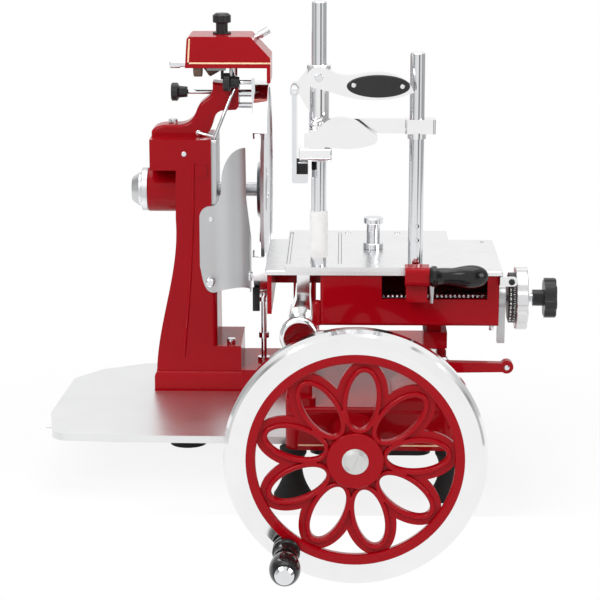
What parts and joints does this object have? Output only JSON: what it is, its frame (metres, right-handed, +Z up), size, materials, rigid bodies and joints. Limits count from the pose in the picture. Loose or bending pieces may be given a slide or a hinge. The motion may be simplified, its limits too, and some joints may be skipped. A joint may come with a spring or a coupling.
{
  "type": "hand crank meat slicer",
  "caption": "Red hand crank meat slicer with a flower-pattern flywheel, round blade, sliding carriage, two-column meat press and a swivelling blade sharpener.",
  "frame": {"origin": "centre of the near left foot's underside, on the surface the feet stand on", "axes": "+X right towards the feed knob, +Y away from the crank towards the back, +Z up"},
  "size_m": [0.6924, 0.6703, 0.738],
  "materials": {
    "red_enamel": "gloss",
    "polished_steel": "polished",
    "bright_chrome": "polished",
    "satin_aluminium": "satin",
    "tray_aluminium": "satin",
    "blade_steel": "ground",
    "gear_steel": "machined",
    "grey_sheet": "satin",
    "black_paint": "satin",
    "black_plastic": "gloss",
    "black_rubber": "matte",
    "white_plastic": "satin",
    "brown_abrasive": "rough"
  },
  "bodies": {
    "machine": {"base_casting": "red_enamel", "base_pan": "black_paint", "rubber_feet": "black_rubber", "blade_column": "red_enamel", "housing_flange": "grey_sheet", "shaft_bearings": "gear_steel", "bearing_cap": "satin_aluminium", "sharpener_arm": "red_enamel", "slice_tray": "tray_aluminium", "carriage_rail": "polished_steel", "guide_rail": "polished_steel", "trip_arm": "red_enamel", "slice_deflector": "grey_sheet", "blade_guard_ring": "polished_steel", "guard_brackets": "bright_chrome", "drive_chain": "gear_steel"},
    "flywheel_set": {"flywheel": "red_enamel", "flywheel_rim": "polished_steel", "hub_screw": "satin_aluminium", "flywheel_shaft": "gear_steel", "bevel_gear": "gear_steel", "crank_pin": "bright_chrome"},
    "crank_handle": {"crank_grip": "black_plastic"},
    "cross_drive": {"cross_shaft": "gear_steel", "bevel_pinion": "gear_steel", "drive_sprocket": "gear_steel"},
    "blade_set": {"blade": "blade_steel", "blade_shaft": "blade_steel", "blade_sprocket": "gear_steel"},
    "carriage": {"carriage_sleeve": "polished_steel", "carriage_housing": "red_enamel", "carriage_plate": "satin_aluminium", "index_bracket": "satin_aluminium"},
    "feed_drive": {"feed_screw": "gear_steel", "feed_knob": "black_plastic"},
    "thickness_setting": {"thickness_dial": "black_plastic", "scalloped_wheel": "satin_aluminium"},
    "ratchet_lever": {"trip_lever": "grey_sheet"},
    "table": {"meat_table": "satin_aluminium", "table_columns": "bright_chrome", "column_sleeve": "white_plastic"},
    "table_clamp": {"table_knob": "bright_chrome"},
    "half_nut": {"release_lever": "red_enamel", "release_grip": "black_plastic"},
    "press": {"press_slider": "polished_steel"},
    "press_handle": {"press_lever": "polished_steel", "lever_grip": "black_plastic"},
    "pusher": {"push_plate": "bright_chrome", "press_rubber": "black_rubber"},
    "turret": {"sharpener_post": "bright_chrome"},
    "sharpener_head": {"sharpener_cover": "red_enamel", "stone_holder": "gear_steel"},
    "grinder_rod": {"grinder_spindle": "bright_chrome"},
    "grinder": {"grinding_stone": "brown_abrasive"},
    "honer_rod": {"honer_spindle": "bright_chrome"},
    "honer": {"deburring_stone": "brown_abrasive"},
    "lift_knob": {"sharpener_top_knob": "black_plastic"},
    "turret_clamp": {"sharpener_clamp_knob": "black_plastic"},
    "guard_clamp": {"guard_knob": "black_plastic"},
    "deflector_clamp": {"deflector_knob": "bright_chrome"}
  },
  "joints": [
    {"name": "flywheel_spin", "type": "hinge", "parent": "machine", "child": "flywheel_set", "pos_m": [0.082, 0, 0.088], "axis": [0, 1, 0], "continuous": true},
    {"name": "crank_grip_spin", "type": "hinge", "parent": "flywheel_set", "child": "crank_handle", "pos_m": [-0.00617, -0.16, -0.03335], "axis": [0, 1, 0], "continuous": true},
    {"name": "cross_shaft_spin", "type": "hinge", "parent": "machine", "child": "cross_drive", "pos_m": [-0.05, 0.3, 0.088], "axis": [1, 0, 0], "continuous": true},
    {"name": "blade_spin", "type": "hinge", "parent": "machine", "child": "blade_set", "pos_m": [-0.1, 0.3, 0.364], "axis": [1, 0, 0], "continuous": true},
    {"name": "carriage_slide", "type": "slide", "parent": "machine", "child": "carriage", "axis": [0, 1, 0], "range_m": [0, 0.24]},
    {"name": "feed_screw_turn", "type": "hinge", "parent": "carriage", "child": "feed_drive", "pos_m": [0.2, 0.084, 0.256], "axis": [1, 0, 0], "range_deg": [-1260, 3375]},
    {"name": "thickness_turn", "type": "hinge", "parent": "carriage", "child": "thickness_setting", "pos_m": [0.3, 0.084, 0.256], "axis": [1, 0, 0], "range_deg": [0, 300]},
    {"name": "ratchet_lever_swing", "type": "hinge", "parent": "carriage", "child": "ratchet_lever", "pos_m": [0.28, 0.084, 0.256], "axis": [1, 0, 0], "range_deg": [0, 30], "stiffness_Nm_per_rad": 0.05, "springref_deg": -11.46},
    {"name": "table_feed", "type": "slide", "parent": "carriage", "child": "table", "axis": [1, 0, 0], "range_m": [-0.028, 0.075]},
    {"name": "table_knob_turn", "type": "hinge", "parent": "table", "child": "table_clamp", "pos_m": [0.107, 0.167, 0.33], "axis": [0, 0, 1], "range_deg": [-180, 180]},
    {"name": "half_nut_release", "type": "hinge", "parent": "table", "child": "half_nut", "pos_m": [0.163, 0.036, 0.294], "axis": [1, 0, 0], "range_deg": [0, 9], "stiffness_Nm_per_rad": 1, "springref_deg": -17.19},
    {"name": "press_slide", "type": "slide", "parent": "table", "child": "press", "axis": [0, 0, 1], "range_m": [-0.095, 0.08]},
    {"name": "press_lever_squeeze", "type": "hinge", "parent": "press", "child": "press_handle", "pos_m": [0.033, 0.034, 0.56], "axis": [0, 1, 0], "range_deg": [0, 12], "stiffness_Nm_per_rad": 2, "springref_deg": -8.59},
    {"name": "pusher_tilt", "type": "hinge", "parent": "press", "child": "pusher", "pos_m": [0.001, 0.056, 0.541], "axis": [0, 1, 0], "range_deg": [0, 12]},
    {"name": "sharpener_swivel", "type": "hinge", "parent": "machine", "child": "turret", "pos_m": [-0.092, 0.3, 0.53], "axis": [0, 0, 1], "range_deg": [-180, 0]},
    {"name": "sharpener_lift", "type": "slide", "parent": "turret", "child": "sharpener_head", "axis": [0, 0, 1], "range_m": [0, 0.015]},
    {"name": "grinder_push", "type": "slide", "parent": "sharpener_head", "child": "grinder_rod", "axis": [0.866, 0, 0.5], "range_m": [-0.006, 0], "stiffness_N_per_m": 600, "springref_m": 0.003},
    {"name": "grinder_spin", "type": "hinge", "parent": "grinder_rod", "child": "grinder", "pos_m": [-0.127, 0.314, 0.543], "axis": [0.866, 0, 0.5], "continuous": true},
    {"name": "honer_push", "type": "slide", "parent": "sharpener_head", "child": "honer_rod", "axis": [1, 0, 0], "range_m": [0, 0.006], "stiffness_N_per_m": 600, "springref_m": -0.003},
    {"name": "honer_spin", "type": "hinge", "parent": "honer_rod", "child": "honer", "pos_m": [-0.141, 0.278, 0.547], "axis": [1, 0, 0], "continuous": true},
    {"name": "lift_knob_turn", "type": "hinge", "parent": "sharpener_head", "child": "lift_knob", "pos_m": [-0.108, 0.3, 0.6], "axis": [0, 0, 1], "range_deg": [-180, 180]},
    {"name": "turret_clamp_turn", "type": "hinge", "parent": "machine", "child": "turret_clamp", "pos_m": [-0.15, 0.3, 0.505], "axis": [1, 0, 0], "range_deg": [-180, 180]},
    {"name": "guard_clamp_turn", "type": "hinge", "parent": "machine", "child": "guard_clamp", "pos_m": [-0.08, 0.268, 0.523], "axis": [1, 0, 0], "range_deg": [-180, 180]},
    {"name": "deflector_clamp_turn", "type": "hinge", "parent": "machine", "child": "deflector_clamp", "pos_m": [-0.124, 0.24, 0.24], "axis": [0, 1, 0], "range_deg": [-180, 180]}
  ],
  "couplings": [
    {"joint": "cross_shaft_spin", "follows": "flywheel_spin", "ratio": -2.5},
    {"joint": "blade_spin", "follows": "flywheel_spin", "ratio": -3},
    {"joint": "feed_screw_turn", "follows": "table_feed", "rad_per_m": 785.4}
  ]
}
